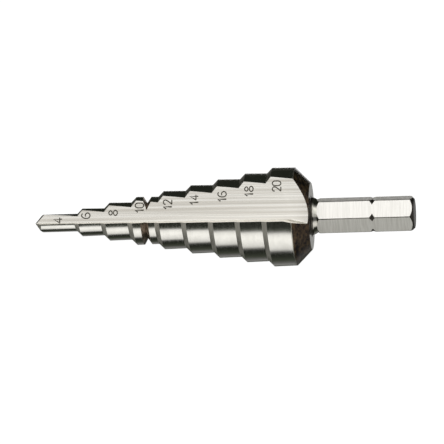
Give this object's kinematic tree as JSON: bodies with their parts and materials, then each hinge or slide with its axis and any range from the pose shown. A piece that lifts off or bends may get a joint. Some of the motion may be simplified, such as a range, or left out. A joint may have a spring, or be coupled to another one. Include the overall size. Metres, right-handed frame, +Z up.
{
  "type": "step drill",
  "caption": "Stepped cone drill with two straight V flutes, size numbers beside its steps and a hexagonal shank.",
  "frame": {"origin": "on the floor under the middle of the drill as it lies at rest on the rims of one flute", "axes": "+X along the drill from the tip to the shank, level on the floor; +Z up; the open flute that shows faces -Y and up"},
  "size_m": [0.0746, 0.0196, 0.0179],
  "materials": {
    "ground_steel": "ground"
  },
  "bodies": {
    "root": {"step_drill": "ground_steel"}
  },
  "joints": []
}
